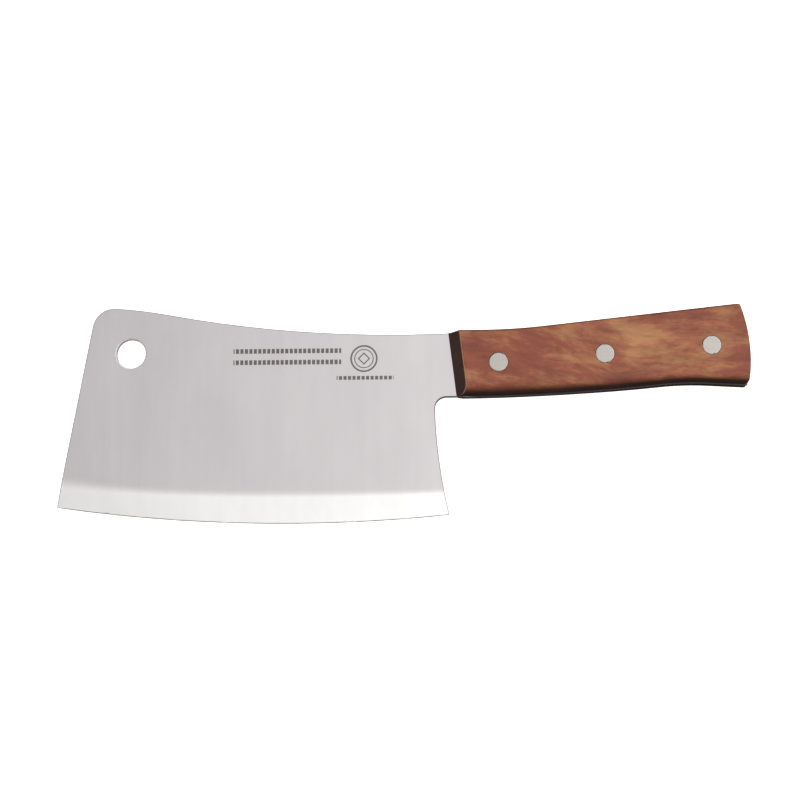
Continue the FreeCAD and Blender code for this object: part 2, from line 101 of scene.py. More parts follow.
low, high = (Vector(corner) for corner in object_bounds())
middle = (low + high) / 2
bpy.ops.object.select_all(action="DESELECT")
bpy.ops.mesh.primitive_plane_add(size=FLOOR_SIZE, location=(middle.x, middle.y, low.z - FLOOR_GAP))
floor = bpy.context.object
floor.name = "floor"
bpy.ops.object.transform_apply(location=True, rotation=True, scale=True)
floor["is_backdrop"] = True

# The camera sees an evenly lit white sheet. The cleaver itself is lit as if it stood on dark
# felt, so no light comes up from below into the polished edges.
table, tree, output = new_material("white acrylic light table")
seen = add_node(tree, "ShaderNodeBsdfDiffuse", values={"Color": linear("#f4f4f4")})
glow = add_node(tree, "ShaderNodeEmission", values={"Color": linear("#ffffff"), "Strength": 0.95})
lit = add_node(tree, "ShaderNodeAddShader", links={0: seen.outputs[0], 1: glow.outputs[0]})
felt = add_node(tree, "ShaderNodeBsdfDiffuse", values={"Color": linear("#4a4a4a")})
path = add_node(tree, "ShaderNodeLightPath")
both = add_node(tree, "ShaderNodeMixShader",
                links={0: path.outputs["Is Camera Ray"], 1: felt.outputs[0], 2: lit.outputs[0]})
tree.links.new(both.outputs[0], output.inputs["Surface"])
floor.data.materials.append(table)

# The tent's light rises toward the top, fades toward the cutting edge, and is stronger on the
# handle's side. Each of these is a smooth step over one part of the direction.
world = bpy.data.worlds.new("soft light tent")
bpy.context.scene.world = world
world.use_nodes = True
tree = world.node_tree
tree.nodes.clear()
output = add_node(tree, "ShaderNodeOutputWorld")
direction = add_node(tree, "ShaderNodeTexCoord")
parts = add_node(tree, "ShaderNodeSeparateXYZ", links={0: direction.outputs["Generated"]})
overhead = add_node(tree, "ShaderNodeMapRange", {"interpolation_type": "SMOOTHSTEP"},
                    {"From Min": 0.25, "From Max": 0.85, "To Min": 0.40, "To Max": 1.42},
                    {"Value": parts.outputs["Z"]})
edge_side = add_node(tree, "ShaderNodeMapRange", {"interpolation_type": "SMOOTHSTEP"},
                     {"From Min": -0.7, "From Max": -0.05, "To Min": 0.45, "To Max": 1.0},
                     {"Value": parts.outputs["Y"]})
spine_side = add_node(tree, "ShaderNodeMapRange", {"interpolation_type": "SMOOTHSTEP"},
                      {"From Min": -0.2, "From Max": 0.1, "To Min": 1.16, "To Max": 0.98},
                      {"Value": parts.outputs["Y"]})
handle_side = add_node(tree, "ShaderNodeMapRange", {"interpolation_type": "SMOOTHSTEP"},
                       {"From Min": -0.35, "From Max": 0.35, "To Min": 0.49, "To Max": 1.44},
                       {"Value": parts.outputs["X"]})
strength = overhead
for side in (edge_side, spine_side, handle_side):
    strength = add_node(tree, "ShaderNodeMath", {"operation": "MULTIPLY"},
                        links={0: strength.outputs[0], 1: side.outputs[0]})
tent = add_node(tree, "ShaderNodeBackground", values={"Color": linear("#ffffff")},
                links={"Strength": strength.outputs[0]})
backdrop = add_node(tree, "ShaderNodeBackground", values={"Color": linear("#ffffff"), "Strength": 1.0})
path = add_node(tree, "ShaderNodeLightPath")
both = add_node(tree, "ShaderNodeMixShader",
                links={0: path.outputs["Is Camera Ray"], 1: tent.outputs[0], 2: backdrop.outputs[0]})
tree.links.new(both.outputs[0], output.inputs["Surface"])

bpy.context.scene.view_settings.view_transform = "Standard"

CAMERA_DISTANCE = 900 * MM
CAMERA_AIM = Vector((-0.7, 5.9, 9.75)) * MM
CAMERA_LENS = 96.43
CAMERA_SENSOR = 36
TILT_DOWN = math.radians(9)
TILT_RIGHT = math.radians(3)

camera_data = bpy.data.cameras.new("camera")
camera_data.sensor_width = CAMERA_SENSOR
camera_data.lens = CAMERA_LENS
camera = bpy.data.objects.new("camera", camera_data)
bpy.context.collection.objects.link(camera)
toward_camera = Vector((math.tan(TILT_RIGHT), -math.tan(TILT_DOWN), 1)).normalized()
camera.location = CAMERA_AIM + toward_camera * CAMERA_DISTANCE
camera.rotation_euler = (math.atan(math.tan(TILT_DOWN) * math.cos(TILT_RIGHT)), TILT_RIGHT, 0)
bpy.context.scene.camera = camera

# ---------------------------------------------------------------- blade
# The blade and its tang are one plate of stainless steel, 3.5 mm thick. The outline is stamped,
# the edge is ground to a soft-shouldered bevel on both faces and honed, and the bare rims are eased.

FINE_CUT = 0.0001 * MM
MERGED = 0.001 * MM
HOLE_REACH = 7 * MM
CUTTER_SIDES = 96


def copy_of(node, name):
    """A new piece, open in edit mode, that starts as a merged copy of a node's mesh."""
    bpy.ops.object.select_all(action="DESELECT")
    piece = bpy.data.objects.new(name, frame["nodes"][node].data.copy())
    bpy.context.collection.objects.link(piece)
    piece.select_set(True)
    bpy.context.view_layer.objects.active = piece
    bpy.ops.mesh.customdata_custom_splitnormals_clear()
    bpy.ops.object.mode_set(mode="EDIT")
    bpy.ops.mesh.select_all(action="SELECT")
    bpy.ops.mesh.remove_doubles(threshold=MERGED)
    return piece


def choose(kind, test):
    """In edit mode, select only the vertices, edges or faces that pass a test."""
    bpy.ops.mesh.select_mode(type=kind)
    bpy.ops.mesh.select_all(action="DESELECT")
    mesh = bpy.context.edit_object.data
    shape = bmesh.from_edit_mesh(mesh)
    shape.normal_update()
    for item in {"VERT": shape.verts, "EDGE": shape.edges, "FACE": shape.faces}[kind]:
        item.select_set(test(item))
    shape.select_flush_mode()
    bmesh.update_edit_mesh(mesh)


def centre_of(edge):
    """The middle of an edge."""
    return (edge.verts[0].co + edge.verts[1].co) / 2


def is_rim(edge):
    """Whether an edge joins a broad face, top or bottom, to a side wall."""
    slopes = sorted(abs(face.normal.z) for face in edge.link_faces)
    return len(slopes) == 2 and slopes[0] < 0.3 and slopes[1] > 0.8


def outline_plate(height, low, high, holes):
    """In edit mode, keep only the mesh's outline at a height, without the holes, as a flat plate."""
    bpy.ops.mesh.select_all(action="SELECT")
    bpy.ops.mesh.bisect(plane_co=(0, 0, height), plane_no=(0, 0, 1), threshold=FINE_CUT,
                        clear_inner=True, clear_outer=True)
    choose("VERT", lambda corner: any((corner.co - hole).xy.length < HOLE_REACH for hole in holes))
    bpy.ops.mesh.delete(type="VERT")
    bpy.ops.mesh.select_all(action="SELECT")
    bpy.ops.mesh.edge_face_add()
    bpy.ops.transform.translate(value=(0, 0, low - height))
    bpy.ops.mesh.extrude_region_move(TRANSFORM_OT_translate={"value": (0, 0, high - low)})
    bpy.ops.mesh.select_all(action="SELECT")
    bpy.ops.mesh.normals_make_consistent(inside=False)


def drill(piece, holes):
    """Bore a piece with turned cutters, each one a centre and its steps of radius and height."""
    bpy.ops.object.mode_set(mode="OBJECT")
    for centre, steps in holes:
        bpy.ops.object.select_all(action="DESELECT")
        (radius, bottom), (_, top) = steps[:2]
        bpy.ops.mesh.primitive_cylinder_add(vertices=CUTTER_SIDES, radius=radius, depth=top - bottom,
                                            location=(centre.x, centre.y, (bottom + top) / 2))
        cutter = bpy.context.object
        bpy.ops.object.mode_set(mode="EDIT")
        for (last, below), (radius, above) in zip(steps[1:], steps[2:]):
            choose("FACE", lambda face: face.normal.z > 0.9)
            bpy.ops.mesh.extrude_region_move(TRANSFORM_OT_translate={"value": (0, 0, above - below)})
            bpy.ops.transform.resize(value=(radius / last, radius / last, 1),
                                     center_override=(centre.x, centre.y, above))
        bpy.ops.object.mode_set(mode="OBJECT")
        bpy.ops.object.select_all(action="DESELECT")
        piece.select_set(True)
        bpy.context.view_layer.objects.active = piece
        bore = piece.modifiers.new("bore", "BOOLEAN")
        bore.operation = "DIFFERENCE"
        bore.object = cutter
        bpy.ops.object.modifier_apply(modifier=bore.name)
        bpy.data.objects.remove(cutter)


def finish_piece(piece, angle, material, node):
    """Leave edit mode, shade the piece, give it its material, attach it to the root body and hide the node it
    stands for.
    """
    bpy.ops.object.mode_set(mode="OBJECT")
    bpy.ops.object.shade_smooth_by_angle(angle=math.radians(angle))
    shading = piece.modifiers.new("flats stay flat", "WEIGHTED_NORMAL")
    shading.keep_sharp = True
    bpy.ops.object.modifier_apply(modifier=shading.name)
    piece.data.materials.clear()
    piece.data.materials.append(material)
    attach(piece, "root")
    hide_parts(node)


GRIND_FIRST_ROW = -19.0 * MM
GRIND_BLEND_ROWS = [(-19.8 - 0.8 * row) * MM for row in range(25)]
GRIND_BEVEL_ROWS = [(-40.5 - 1.2 * row) * MM for row in range(5)]
GRIND_COLUMNS = [(-142.5 + 2.5 * column) * MM for column in range(65)]
GRIND_BLEND = 6.0 * MM
GRIND_BLEND_AT_FRONT = 14.0 * MM
GRIND_SHOULDER = -33.2 * MM
GRIND_RISE_AT_FRONT = 6.7 * MM
GRIND_RISE_FADE = 28.7 * MM
EDGE_RADIUS = 676.7 * MM
EDGE_LOW_X = -46.8 * MM
EDGE_HALF = 0.35 * MM
HONED = 0.27 * MM
HONED_UNDER_SCALE = 2.5 * MM
BELOW_SCALE = 10 * MM
HOLE_RADIUS = 6.25 * MM
HOLE_CHAMFER = 0.5 * MM
RIVET_HOLE_RADIUS = 2.55 * MM
CUTTER_PAST = 0.2 * MM
CUTTER_LAP = 1 * MM

blade_low, blade_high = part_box("blade")
blade_middle = (blade_low.z + blade_high.z) / 2
blade_half = (blade_high.z - blade_low.z) / 2
scale_low, scale_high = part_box("left_scale")
hang_hole = next(mount for mount in frame["record"]["mounts"] if mount["name"] == "hang_hole")
hole_centre = Vector(hang_hole["pos_m"])
rivet_places = []
for name in ("front", "middle", "rear"):
    rivet_low, rivet_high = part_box(f"{name}_rivet_female")
    rivet_places.append((rivet_low + rivet_high) / 2)


def ground_half(x, y):
    """Half the blade's thickness at a place on the ground part of a face."""
    edge_y = blade_low.y + EDGE_RADIUS - math.sqrt(EDGE_RADIUS ** 2 - (x - EDGE_LOW_X) ** 2)
    at_front = math.exp(-(x - blade_low.x) / GRIND_RISE_FADE)
    shoulder = GRIND_SHOULDER + GRIND_RISE_AT_FRONT * at_front
    blend = GRIND_BLEND + (GRIND_BLEND_AT_FRONT - GRIND_BLEND) * at_front
    slope = (blade_half - EDGE_HALF) / (shoulder - edge_y)
    down = shoulder + blend / 2 - y
    if down <= 0:
        return blade_half
    taken = slope * down ** 2 / (2 * blend) if down < blend else slope * (down - blend / 2)
    return max(blade_half - taken, EDGE_HALF)


# The plate gets rows and columns of points below the first row, and the wheel's hollow blend
# and flat bevel are then pressed into both faces at once.
blade = copy_of("blade", "ground_blade")
outline_plate(blade_middle, blade_low.z, blade_high.z, [hole_centre] + rivet_places)
bpy.ops.mesh.bisect(plane_co=(0, GRIND_FIRST_ROW, 0), plane_no=(0, 1, 0))
cuts = [((0, y, 0), (0, 1, 0)) for y in GRIND_BLEND_ROWS + GRIND_BEVEL_ROWS]
cuts += [((x, 0, 0), (1, 0, 0)) for x in GRIND_COLUMNS]
for point, normal in cuts:
    choose("FACE", lambda face: face.calc_center_median().y < GRIND_FIRST_ROW)
    bpy.ops.mesh.bisect(plane_co=point, plane_no=normal)
shape = bmesh.from_edit_mesh(blade.data)
for corner in shape.verts:
    if corner.co.y < GRIND_FIRST_ROW:
        side = 1 if corner.co.z > blade_middle else -1
        corner.co.z = blade_middle + side * ground_half(corner.co.x, corner.co.y)
bmesh.update_edit_mesh(blade.data)


def is_bare(place):
    """Whether a place on the rim is in the open, or just under the lower front of the scales."""
    return place.x < scale_low.x + (HONED_UNDER_SCALE if place.y < BELOW_SCALE else 0)


choose("EDGE", lambda edge: is_rim(edge) and is_bare(centre_of(edge)))
bpy.ops.mesh.bevel(offset=HONED, segments=1, affect="EDGES", clamp_overlap=False)

chamfer_end = HOLE_RADIUS + HOLE_CHAMFER + CUTTER_PAST
hole_cutter = [(chamfer_end, blade_low.z - CUTTER_PAST - CUTTER_LAP),
               (chamfer_end, blade_low.z - CUTTER_PAST),
               (HOLE_RADIUS, blade_low.z + HOLE_CHAMFER),
               (HOLE_RADIUS, blade_high.z - HOLE_CHAMFER),
               (chamfer_end, blade_high.z + CUTTER_PAST)]
rivet_cutter = [(RIVET_HOLE_RADIUS, blade_low.z - CUTTER_LAP), (RIVET_HOLE_RADIUS, blade_high.z + CUTTER_LAP)]
drill(blade, [(hole_centre, hole_cutter)] + [(place, rivet_cutter) for place in rivet_places])

# Stainless steel, ground on a fine belt from spine to edge. It looks a soft, even grey with faint
# upright lines and slow clouds. The bevel's colour is painted nearly white, a painted highlight.
# The belt's lines are drawn coarser than real so that they show.
BELT_LINE = 0.714 * MM
BELT_BAND = 3.85 * MM
BELT_STRETCH = 0.012
CLOUD = 16.7 * MM
CLOUD_STRETCH = 0.35

steel, tree, output = new_material("stainless steel, satin belt ground")
place = add_node(tree, "ShaderNodeTexCoord")
belt_way = add_node(tree, "ShaderNodeMapping", values={"Scale": (1.0, BELT_STRETCH, 1.0)},
                    links={"Vector": place.outputs["Object"]})
lines = add_node(tree, "ShaderNodeTexNoise",
                 values={"Scale": 1 / BELT_LINE, "Detail": 3.0, "Roughness": 0.6},
                 links={"Vector": belt_way.outputs[0]})
bands = add_node(tree, "ShaderNodeTexNoise",
                 values={"Scale": 1 / BELT_BAND, "Detail": 2.0, "Roughness": 0.5},
                 links={"Vector": belt_way.outputs[0]})
cloud_way = add_node(tree, "ShaderNodeMapping", values={"Scale": (1.0, CLOUD_STRETCH, 1.0)},
                     links={"Vector": place.outputs["Object"]})
clouds = add_node(tree, "ShaderNodeTexNoise",
                  values={"Scale": 1 / CLOUD, "Detail": 3.0, "Roughness": 0.6},
                  links={"Vector": cloud_way.outputs[0]})
streaks = add_node(tree, "ShaderNodeMapRange",
                   values={"From Min": 0.3, "From Max": 0.7, "To Min": 0.99, "To Max": 1.01},
                   links={"Value": bands.outputs["Fac"]})
mottle = add_node(tree, "ShaderNodeMapRange",
                  values={"From Min": 0.3, "From Max": 0.7, "To Min": 0.965, "To Max": 1.035},
                  links={"Value": clouds.outputs["Fac"]})
shade = add_node(tree, "ShaderNodeMath", {"operation": "MULTIPLY"},
                 links={0: streaks.outputs[0], 1: mottle.outputs[0]})
facing = add_node(tree, "ShaderNodeSeparateXYZ", links={0: place.outputs["Normal"]})
flat = add_node(tree, "ShaderNodeMath", {"operation": "ABSOLUTE"}, links={0: facing.outputs["Z"]})
# Painted highlight: where the face turns off the flat onto the bevel, the colour goes to near white.
bevel = add_node(tree, "ShaderNodeMapRange", {"interpolation_type": "SMOOTHSTEP"},
                 {"From Min": 0.9996, "From Max": 0.9955, "To Min": 0.0, "To Max": 1.0},
                 {"Value": flat.outputs[0]})
base = add_node(tree, "ShaderNodeMix", {"data_type": "RGBA"},
                {"A": linear("#c4bfc0"), "B": linear("#e7e6e4")}, {"Factor": bevel.outputs[0]})
satin = add_node(tree, "ShaderNodeVectorMath", {"operation": "SCALE"},
                 links={0: base.outputs["Result"], "Scale": shade.outputs[0]})

# A plain etched mark on the upper face: two dashed bars, two rings round a lozenge, and a short
# dashed bar. A bar is its middle and its half length and half width, in millimetres, and a ring
# or the lozenge is its reach and half its line's width.
MARK_BARS = [(-48.2, 26.9, 22.8, 1.0), (-48.2, 22.1, 22.8, 1.0), (-15.3, 15.2, 12.0, 0.8)]
MARK_DASH = 1.9 * MM
MARK_DASH_GAP = 0.56 * MM
MARK_CENTRE = (-15.8 * MM, 23.4 * MM)
MARK_RINGS = [(5.4 * MM, 0.35 * MM), (3.9 * MM, 0.2 * MM)]
MARK_LOZENGE = (2.3 * MM, 0.35 * MM)
ETCH_DEPTH = 0.1 * MM

spot = add_node(tree, "ShaderNodeSeparateXYZ", links={0: place.outputs["Object"]})
drawn = []
for x, y, half_x, half_y in MARK_BARS:
    near_x = add_node(tree, "ShaderNodeMath", {"operation": "COMPARE"}, {1: x * MM, 2: half_x * MM},
                      {0: spot.outputs["X"]})
    near_y = add_node(tree, "ShaderNodeMath", {"operation": "COMPARE"}, {1: y * MM, 2: half_y * MM},
                      {0: spot.outputs["Y"]})
    drawn.append(add_node(tree, "ShaderNodeMath", {"operation": "MULTIPLY"},
                          links={0: near_x.outputs[0], 1: near_y.outputs[0]}))
bars = drawn[0]
for item in drawn[1:]:
    bars = add_node(tree, "ShaderNodeMath", {"operation": "ADD"},
                    links={0: bars.outputs[0], 1: item.outputs[0]})
paces = add_node(tree, "ShaderNodeMath", {"operation": "PINGPONG"}, {1: MARK_DASH / 2},
                 {0: spot.outputs["X"]})
dashes = add_node(tree, "ShaderNodeMath", {"operation": "GREATER_THAN"}, {1: MARK_DASH_GAP / 2},
                  {0: paces.outputs[0]})
drawn = [add_node(tree, "ShaderNodeMath", {"operation": "MULTIPLY"},
                  links={0: bars.outputs[0], 1: dashes.outputs[0]})]
centred = add_node(tree, "ShaderNodeMapping",
                   values={"Location": (-MARK_CENTRE[0], -MARK_CENTRE[1], 0), "Scale": (1, 1, 0)},
                   links={"Vector": place.outputs["Object"]})
reach = add_node(tree, "ShaderNodeVectorMath", {"operation": "LENGTH"}, links={0: centred.outputs[0]})
for radius, half in MARK_RINGS:
    drawn.append(add_node(tree, "ShaderNodeMath", {"operation": "COMPARE"}, {1: radius, 2: half},
                          {0: reach.outputs["Value"]}))
folded = add_node(tree, "ShaderNodeVectorMath", {"operation": "ABSOLUTE"}, links={0: centred.outputs[0]})
slanted = add_node(tree, "ShaderNodeVectorMath", {"operation": "DOT_PRODUCT"}, {1: (1, 1, 0)},
                   {0: folded.outputs[0]})
drawn.append(add_node(tree, "ShaderNodeMath", {"operation": "COMPARE"},
                      {1: MARK_LOZENGE[0], 2: MARK_LOZENGE[1]}, {0: slanted.outputs["Value"]}))
mark = drawn[0]
for item in drawn[1:]:
    mark = add_node(tree, "ShaderNodeMath", {"operation": "MAXIMUM"},
                    links={0: mark.outputs[0], 1: item.outputs[0]})
upper_face = add_node(tree, "ShaderNodeMath", {"operation": "GREATER_THAN"},
                      {1: blade_high.z - ETCH_DEPTH}, {0: spot.outputs["Z"]})
etched = add_node(tree, "ShaderNodeMath", {"operation": "MULTIPLY"},
                  links={0: mark.outputs[0], 1: upper_face.outputs[0]})
colour = add_node(tree, "ShaderNodeMix", {"data_type": "RGBA"}, {"B": linear("#6a6462")},
                  {"A": satin.outputs[0], "Factor": etched.outputs[0]})

# The punched wall of the hanging hole is torn and matt, so inside the chamfer's outer rim the
# steel is mostly dull.
WALL_INSIDE = HOLE_RADIUS + HOLE_CHAMFER - 0.05 * MM
WALL_OUTSIDE = HOLE_RADIUS + HOLE_CHAMFER + 0.03 * MM

from_hole = add_node(tree, "ShaderNodeMapping",
                     values={"Location": (-hole_centre.x, -hole_centre.y, 0), "Scale": (1, 1, 0)},
                     links={"Vector": place.outputs["Object"]})
hole_reach = add_node(tree, "ShaderNodeVectorMath", {"operation": "LENGTH"}, links={0: from_hole.outputs[0]})
clean = add_node(tree, "ShaderNodeMapRange",
                 values={"From Min": WALL_INSIDE, "From Max": WALL_OUTSIDE, "To Min": 0.15, "To Max": 1.0},
                 links={"Value": hole_reach.outputs["Value"]})
rough = add_node(tree, "ShaderNodeMapRange",
                 values={"From Min": 0.3, "From Max": 0.7, "To Min": 0.27, "To Max": 0.34},
                 links={"Value": lines.outputs["Fac"]})
relief = add_node(tree, "ShaderNodeBump", values={"Strength": 0.06, "Distance": 0.004 * MM},
                  links={"Height": lines.outputs["Fac"]})
shader = add_node(tree, "ShaderNodeBsdfPrincipled",
                  links={"Base Color": colour.outputs["Result"], "Roughness": rough.outputs[0],
                         "Normal": relief.outputs[0], "Metallic": clean.outputs[0]})
tree.links.new(shader.outputs[0], output.inputs["Surface"])
finish_piece(blade, 25, steel, "blade")

# ---------------------------------------------------------------- scales
# The two scales are rosewood, sawn along the grain and riveted to the tang, then sanded to shape
# with it and oiled. The sloping front is cut across the grain and soaks up more oil, and like the
# rounded edges it is also painted dark as painted shade, so it is almost black.

BELLY_ROUNDING = 4.5 * MM
BELLY_FULLER = 1.2
BELLY_THINNING = 0.42
BELLY_THINS_FROM = 60 * MM
BELLY_THINS_TO = 110 * MM
BELLY_ROWS = 10
TOP_ROUNDING = 1.4 * MM
FRONT_SLOPE = math.radians(30)
FRONT_LEAN = Vector((3.4, -27.1)).normalized()
FRONT_TOP_Y = 34 * MM
RIDGE_ROUNDING = 0.7 * MM
FOOT_LEFT_SHARP = 2.2 * MM
SEAT_DEPTH = 2.0 * MM
SEAT_RADIUS = 4.05 * MM
SEAT_STEP = 0.01 * MM
OUTLINE_HEIGHT = 0.02 * MM
HAIR = 0.01 * MM


def smooth_step(low, high, number):
    """0 below low, 1 above high, and an easy curve between."""
    share = min(max((number - low) / (high - low), 0), 1)
    return share * share * (3 - 2 * share)


left_scale = copy_of("left_scale", "left_scale_rosewood")
outline_plate(scale_low.z + OUTLINE_HEIGHT, scale_low.z, scale_high.z, rivet_places)

# Both long edges are rounded on a belt. The walls get rows of points, and each row is pushed in
# by as much as a round of its radius takes away: more at the front of the belly than at the butt.
walls = bmesh.from_edit_mesh(left_scale.data)
walls.normal_update()
lower_edge, upper_edge = (
    sorted({tuple(corner.co.xy) for face in walls.faces if face.normal.y * side > 0.9
            for corner in face.verts})
    for side in (-1, 1))


def edge_y(edge, x):
    """Where one of the scale's long edges runs in the plan, at a distance along it."""
    for (x0, y0), (x1, y1) in zip(edge, edge[1:]):
        if x0 <= x <= x1 and x1 > x0:
            return y0 + (y1 - y0) * (x - x0) / (x1 - x0)
    return edge[0][1] if x < edge[0][0] else edge[-1][1]


row_angles = [math.radians(90 * row / BELLY_ROWS) for row in range(BELLY_ROWS)]
for angle in row_angles:
    depth = BELLY_ROUNDING * (1 - math.sin(angle))
    bpy.ops.mesh.select_all(action="SELECT")
    bpy.ops.mesh.bisect(plane_co=(0, 0, scale_high.z - depth), plane_no=(0, 0, 1), threshold=MERGED)
walls = bmesh.from_edit_mesh(left_scale.data)
for corner in walls.verts:
    depth = scale_high.z - corner.co.z
    if depth > BELLY_ROUNDING + HAIR:
        continue
    sine = 1 - depth / BELLY_ROUNDING
    thinned = BELLY_THINNING * smooth_step(BELLY_THINS_FROM, BELLY_THINS_TO, corner.co.x)
    radius = BELLY_ROUNDING * (BELLY_FULLER - thinned)
    lowest = edge_y(lower_edge, corner.co.x) + radius * (1 - math.sqrt(max(1 - sine ** 2, 0)))
    highest = edge_y(upper_edge, corner.co.x)
    if depth < TOP_ROUNDING:
        highest -= TOP_ROUNDING - math.sqrt(TOP_ROUNDING ** 2 - (TOP_ROUNDING - depth) ** 2)
    if corner.co.y < lowest + MERGED:
        corner.co.z = scale_high.z - radius * (1 - sine)
        corner.co.y = lowest
    corner.co.y = min(corner.co.y, highest)
bmesh.update_edit_mesh(left_scale.data)

# The front is sawn off at a slope, and the ridge where it meets the rest is broken with paper.
outward = Vector((math.cos(FRONT_SLOPE) * FRONT_LEAN.y, -math.cos(FRONT_SLOPE) * FRONT_LEAN.x,
                  math.sin(FRONT_SLOPE)))
bpy.ops.mesh.select_all(action="SELECT")
bpy.ops.mesh.bisect(plane_co=(scale_low.x, FRONT_TOP_Y, scale_low.z), plane_no=outward, use_fill=True,
                    clear_outer=True)


def is_ridge(edge):
    """Whether an edge borders the sloping front, above its foot on the tang."""
    fronts = sum(face.normal.dot(outward) > 0.999 for face in edge.link_faces)
    return fronts == 1 and centre_of(edge).z > scale_low.z + FOOT_LEFT_SHARP


choose("EDGE", is_ridge)
bpy.ops.mesh.bevel(offset=RIDGE_ROUNDING, segments=2, affect="EDGES", clamp_overlap=False)
seat_bottom = scale_high.z - SEAT_DEPTH
seat_cutter = [(RIVET_HOLE_RADIUS, scale_low.z - CUTTER_LAP), (RIVET_HOLE_RADIUS, seat_bottom),
               (SEAT_RADIUS, seat_bottom + SEAT_STEP), (SEAT_RADIUS, scale_high.z + CUTTER_LAP)]
drill(left_scale, [(place, seat_cutter) for place in rivet_places])

bpy.ops.object.select_all(action="DESELECT")
right_scale = bpy.data.objects.new("right_scale_rosewood", left_scale.data.copy())
bpy.context.collection.objects.link(right_scale)
right_scale.select_set(True)
bpy.context.view_layer.objects.active = right_scale
bpy.ops.object.mode_set(mode="EDIT")
bpy.ops.mesh.select_all(action="SELECT")
bpy.ops.transform.mirror(constraint_axis=(False, False, True), center_override=(0, 0, blade_middle))
bpy.ops.mesh.normals_make_consistent(inside=False)

# Rosewood, sanded along the grain and oiled. It looks a warm red-brown with amber patches that
# run along the handle, darker streaks, and a low sheen. One pale patch lies behind the middle.
# The fibres are drawn coarser than real so that they show.
GRAIN_RISES_FROM = 20 * MM
GRAIN_RISES_TO = 105 * MM
GRAIN_RISE = 16 * MM
WANDER = 22.2 * MM
WANDER_REACH = (10 * MM, 6 * MM, 6 * MM)
PATCH = 8.33 * MM
PATCH_STRETCH = 0.4
STREAK = 3.03 * MM
FIBRE = 0.667 * MM
GRAIN_STRETCH = 0.16
PALE_CENTRE = Vector((103.3, 47.0, 22.5)) * MM
PALE_REACH = Vector((47.6, 22.2, 20.0)) * MM

wood, tree, output = new_material("rosewood, sanded and oiled")
place = add_node(tree, "ShaderNodeTexCoord")
parts = add_node(tree, "ShaderNodeSeparateXYZ", links={0: place.outputs["Object"]})
rise = add_node(tree, "ShaderNodeMapRange", {"interpolation_type": "SMOOTHSTEP"},
                {"From Min": GRAIN_RISES_FROM, "From Max": GRAIN_RISES_TO,
                 "To Min": 0.0, "To Max": GRAIN_RISE},
                {"Value": parts.outputs["X"]})
lift = add_node(tree, "ShaderNodeCombineXYZ", links={"Y": rise.outputs[0]})
leaning = add_node(tree, "ShaderNodeVectorMath", {"operation": "ADD"},
                   links={0: place.outputs["Object"], 1: lift.outputs[0]})
wander = add_node(tree, "ShaderNodeTexNoise", values={"Scale": 1 / WANDER, "Detail": 2.0, "Roughness": 0.5},
                  links={"Vector": leaning.outputs[0]})
shift = add_node(tree, "ShaderNodeVectorMath", {"operation": "MULTIPLY"}, {1: WANDER_REACH},
                 {0: wander.outputs["Color"]})
bent = add_node(tree, "ShaderNodeVectorMath", {"operation": "ADD"},
                links={0: leaning.outputs[0], 1: shift.outputs[0]})
patch_way = add_node(tree, "ShaderNodeMapping", values={"Scale": (PATCH_STRETCH, 1.0, 1.0)},
                     links={"Vector": bent.outputs[0]})
patches = add_node(tree, "ShaderNodeTexNoise", values={"Scale": 1 / PATCH, "Detail": 4.0, "Roughness": 0.68},
                   links={"Vector": patch_way.outputs[0]})
pale_way = add_node(tree, "ShaderNodeMapping",
                    values={"Location": [-c / r for c, r in zip(PALE_CENTRE, PALE_REACH)],
                            "Scale": [1 / r for r in PALE_REACH]},
                    links={"Vector": bent.outputs[0]})
pale = add_node(tree, "ShaderNodeTexGradient", {"gradient_type": "QUADRATIC_SPHERE"},
                links={"Vector": pale_way.outputs[0]})
figure = add_node(tree, "ShaderNodeMath", {"operation": "MULTIPLY_ADD"}, {1: 0.22},
                  {0: pale.outputs["Fac"], 2: patches.outputs["Fac"]})
base = add_node(tree, "ShaderNodeValToRGB", links={"Fac": figure.outputs[0]})
ramp = base.color_ramp
ramp.elements[0].position = 0.30
ramp.elements[0].color = linear("#793c29")
ramp.elements[1].position = 0.74
ramp.elements[1].color = linear("#b67e50")
middle_tone = ramp.elements.new(0.5)
middle_tone.color = linear("#914a32")
grain_way = add_node(tree, "ShaderNodeMapping", values={"Scale": (GRAIN_STRETCH, 1.0, 1.0)},
                     links={"Vector": bent.outputs[0]})
streaks = add_node(tree, "ShaderNodeTexNoise", values={"Scale": 1 / STREAK, "Detail": 3.0, "Roughness": 0.55},
                   links={"Vector": grain_way.outputs[0]})
fibres = add_node(tree, "ShaderNodeTexNoise", values={"Scale": 1 / FIBRE, "Detail": 2.0, "Roughness": 0.6},
                  links={"Vector": grain_way.outputs[0]})
dark_streaks = add_node(tree, "ShaderNodeMapRange", {"interpolation_type": "SMOOTHSTEP"},
                        {"From Min": 0.34, "From Max": 0.64, "To Min": 0.85, "To Max": 1.08},
                        {"Value": streaks.outputs["Fac"]})
fine = add_node(tree, "ShaderNodeMapRange",
                values={"From Min": 0.3, "From Max": 0.7, "To Min": 0.94, "To Max": 1.06},
                links={"Value": fibres.outputs["Fac"]})
shade = add_node(tree, "ShaderNodeMath", {"operation": "MULTIPLY"},
                 links={0: dark_streaks.outputs[0], 1: fine.outputs[0]})
figured = add_node(tree, "ShaderNodeVectorMath", {"operation": "SCALE"},
                   links={0: base.outputs["Color"], "Scale": shade.outputs[0]})
